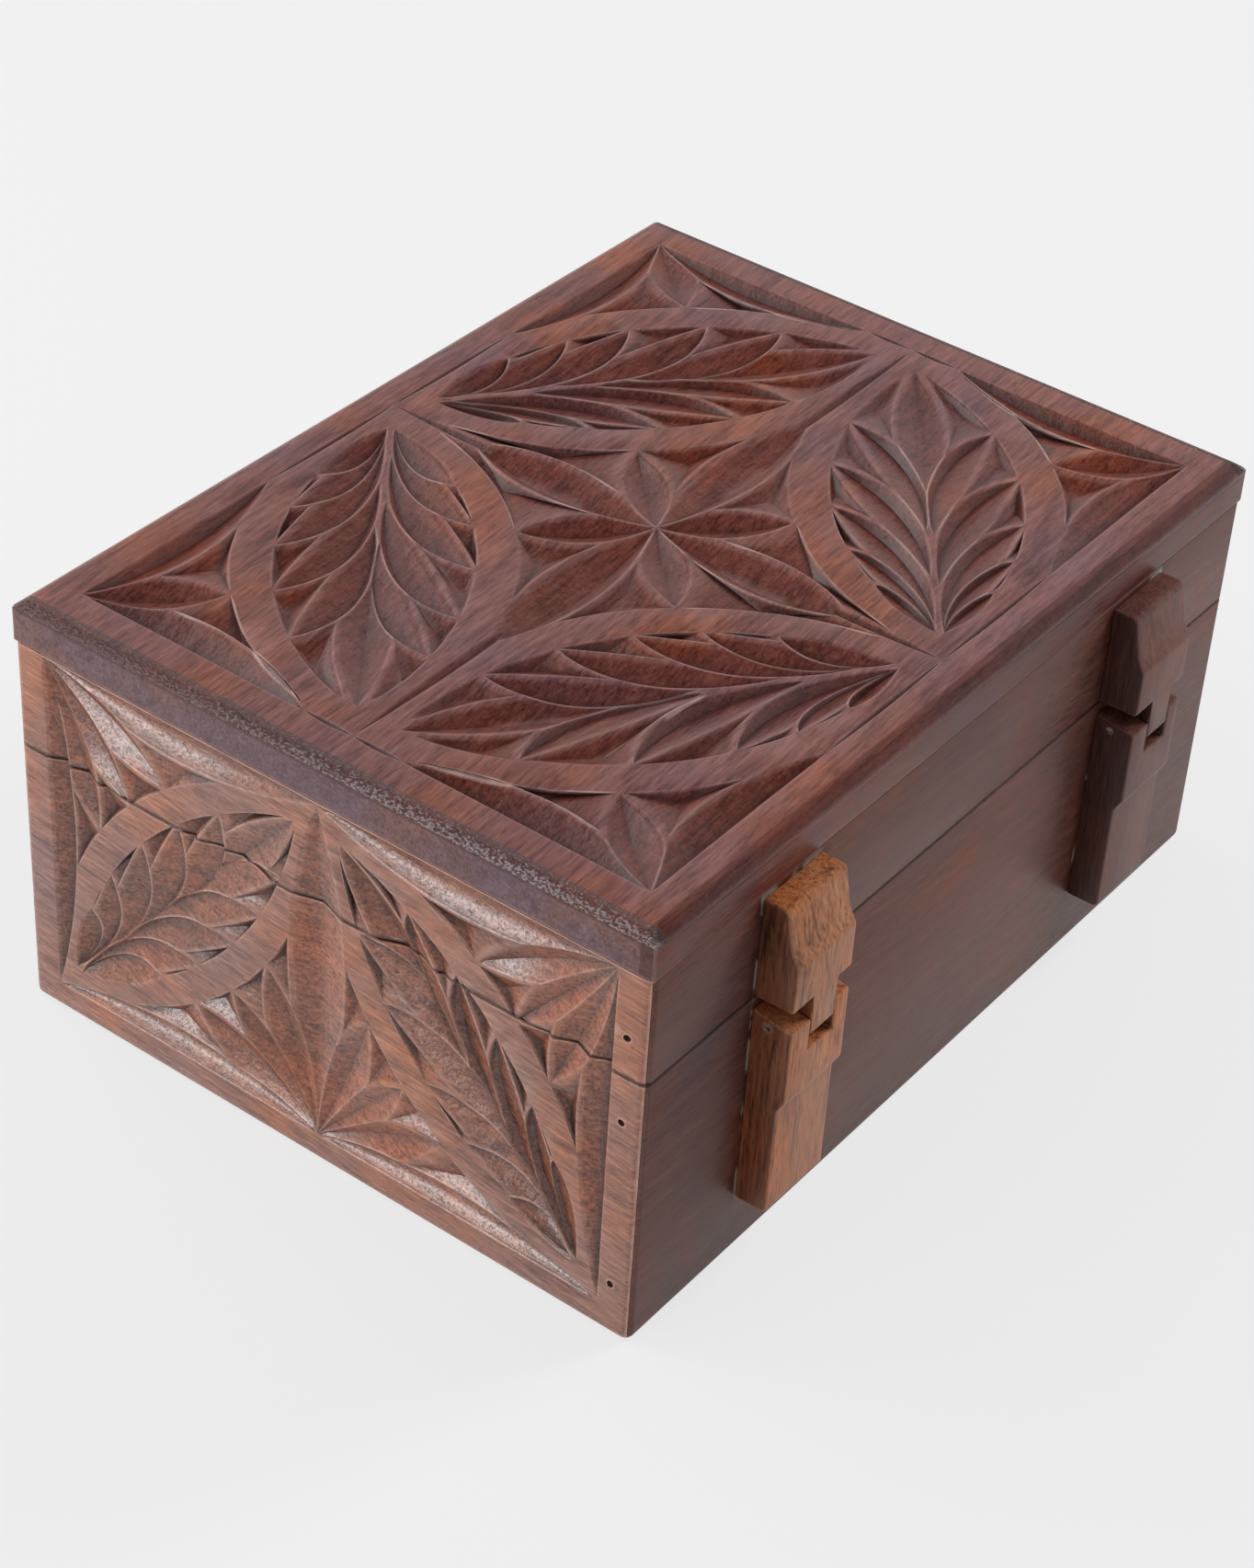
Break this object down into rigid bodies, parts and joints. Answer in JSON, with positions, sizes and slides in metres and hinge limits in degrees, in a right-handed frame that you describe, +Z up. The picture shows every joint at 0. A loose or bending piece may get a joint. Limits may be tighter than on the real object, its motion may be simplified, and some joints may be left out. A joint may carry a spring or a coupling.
{
  "type": "wooden jewelry box",
  "caption": "Carved walnut jewelry box with leaf panels cut into its top and ends, and a lid that swings on wooden finger hinges.",
  "frame": {"origin": "middle of the flat underside of the box", "axes": "+X along the hinged side, +Y towards the hinged back, +Z up"},
  "size_m": [0.254, 0.2032, 0.123],
  "materials": {
    "carved_top": "satin lacquer over dark red-brown walnut",
    "carved_end": "satin lacquer over lighter tan-brown walnut",
    "plain_walnut": "satin lacquer over dark walnut",
    "inside_walnut": "plain sealed walnut",
    "hinge_wood_right": "satin, orange-brown straight grain",
    "hinge_wood_left": "satin, purple-brown straight grain",
    "nail_iron": "dull dark iron",
    "pin_wire": "dull wire"
  },
  "bodies": {
    "box": {"body_front": "plain_walnut", "body_back": "plain_walnut", "body_end_right": "carved_end", "body_end_left": "carved_end", "bottom_panel": "inside_walnut", "body_nails": "nail_iron", "hinge_right_lower": "hinge_wood_right", "hinge_left_lower": "hinge_wood_left", "hinge_right_pin": "pin_wire", "hinge_left_pin": "pin_wire"},
    "lid": {"lid_top": "carved_top", "lid_front": "plain_walnut", "lid_back": "plain_walnut", "lid_end_right": "carved_end", "lid_end_left": "carved_end", "lid_nails": "nail_iron", "hinge_right_upper": "hinge_wood_right", "hinge_left_upper": "hinge_wood_left"}
  },
  "joints": [
    {"name": "lid_hinge", "type": "hinge", "parent": "box", "child": "lid", "pos_m": [0, 0.1004, 0.074], "axis": [-1, 0, 0], "range_deg": [0, 92]}
  ]
}
